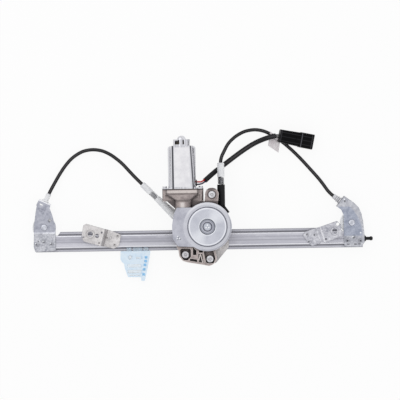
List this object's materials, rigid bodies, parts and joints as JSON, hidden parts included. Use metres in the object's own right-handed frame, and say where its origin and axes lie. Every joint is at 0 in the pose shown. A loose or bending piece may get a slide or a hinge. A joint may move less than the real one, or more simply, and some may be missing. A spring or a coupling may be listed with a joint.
{
  "type": "window regulator",
  "caption": "Electric car window regulator with a channel rail, sliding glass carriage, end pulleys, cables in black conduits, worm gear motor and a plug lead.",
  "frame": {"origin": "middle of the footprint on the surface it lies on, under the whole part", "axes": "+X along the rail to the end with the pin, +Y across the rail towards the motor, +Z out of the front face, with the part lying on its back"},
  "size_m": [0.4776, 0.212, 0.0516],
  "materials": {
    "zinc_steel": "satin",
    "screw_steel": "satin",
    "motor_steel": "polished",
    "die_cast": "satin",
    "black_plastic": "satin",
    "white_plastic": "satin",
    "blue_plastic": "satin",
    "conduit_plastic": "gloss",
    "sleeve_plastic": "matte",
    "lead_insulation": "satin",
    "spring_steel": "satin",
    "cable_steel": "satin",
    "shaft_steel": "satin",
    "rubber": "matte",
    "bronze": "satin",
    "winding_copper": "satin",
    "core_iron": "matte",
    "label_film": "matte"
  },
  "bodies": {
    "frame": {"brush_card": "black_plastic", "can_screws": "screw_steel", "connector_housing": "black_plastic", "connector_seal": "rubber", "connector_terminals": "bronze", "drum_housing": "black_plastic", "end_pin": "black_plastic", "flag_label": "label_film", "gear_cover": "zinc_steel", "gear_housing": "die_cast", "gear_spindle": "shaft_steel", "harness_leads": "lead_insulation", "harness_sleeve": "sleeve_plastic", "left_cable": "cable_steel", "left_conduit": "conduit_plastic", "left_conduit_fitting": "white_plastic", "left_end_bracket": "zinc_steel", "left_guide_tube": "white_plastic", "left_mounting_bracket": "zinc_steel", "left_outlet_sleeve": "white_plastic", "left_pulley_rivet": "zinc_steel", "left_tension_spring": "spring_steel", "motor_can": "motor_steel", "motor_label": "label_film", "motor_magnets": "core_iron", "motor_mounting_plate": "zinc_steel", "motor_screws": "screw_steel", "rail": "zinc_steel", "right_cable": "cable_steel", "right_conduit": "conduit_plastic", "right_conduit_fitting": "black_plastic", "right_end_bracket": "zinc_steel", "right_guide_tube": "white_plastic", "right_mounting_bracket": "zinc_steel", "right_pulley_rivet": "zinc_steel", "right_tension_spring": "spring_steel", "shaft_bushes": "bronze", "weld_nuts": "zinc_steel", "wire_grommet": "rubber"},
    "armature": {"armature_shaft": "shaft_steel", "worm": "shaft_steel", "armature_core": "core_iron", "armature_windings": "winding_copper", "commutator": "bronze"},
    "drum": {"cable_drum": "white_plastic", "drive_plate": "shaft_steel", "rubber_damper": "rubber", "worm_wheel": "white_plastic"},
    "carriage": {"carriage": "blue_plastic", "cable_nipples": "cable_steel"},
    "left_pulley": {"left_pulley": "white_plastic"},
    "right_pulley": {"right_pulley": "white_plastic"}
  },
  "joints": [
    {"name": "armature_spin", "type": "hinge", "parent": "frame", "child": "armature", "pos_m": [-0.029, -0.0306, 0.0364], "axis": [0, 1, 0], "range_deg": [-42300, 13290]},
    {"name": "drum_spin", "type": "hinge", "parent": "frame", "child": "drum", "pos_m": [0.0052, -0.0306, 0.0364], "axis": [0, 0, 1], "range_deg": [-730, 230]},
    {"name": "carriage_slide", "type": "slide", "parent": "frame", "child": "carriage", "axis": [1, 0, 0], "range_m": [-0.08, 0.255]},
    {"name": "left_pulley_spin", "type": "hinge", "parent": "frame", "child": "left_pulley", "pos_m": [-0.2241, -0.0285, 0.0057], "axis": [0, 0, 1], "range_deg": [-320, 1010]},
    {"name": "right_pulley_spin", "type": "hinge", "parent": "frame", "child": "right_pulley", "pos_m": [0.2081, -0.0285, 0.0057], "axis": [0, 0, 1], "range_deg": [-320, 1010]}
  ],
  "couplings": [
    {"joint": "drum_spin", "follows": "armature_spin", "ratio": 0.017241},
    {"joint": "carriage_slide", "follows": "armature_spin", "m_per_rad": -0.00034483},
    {"joint": "left_pulley_spin", "follows": "armature_spin", "ratio": -0.023781},
    {"joint": "right_pulley_spin", "follows": "armature_spin", "ratio": -0.023781}
  ]
}
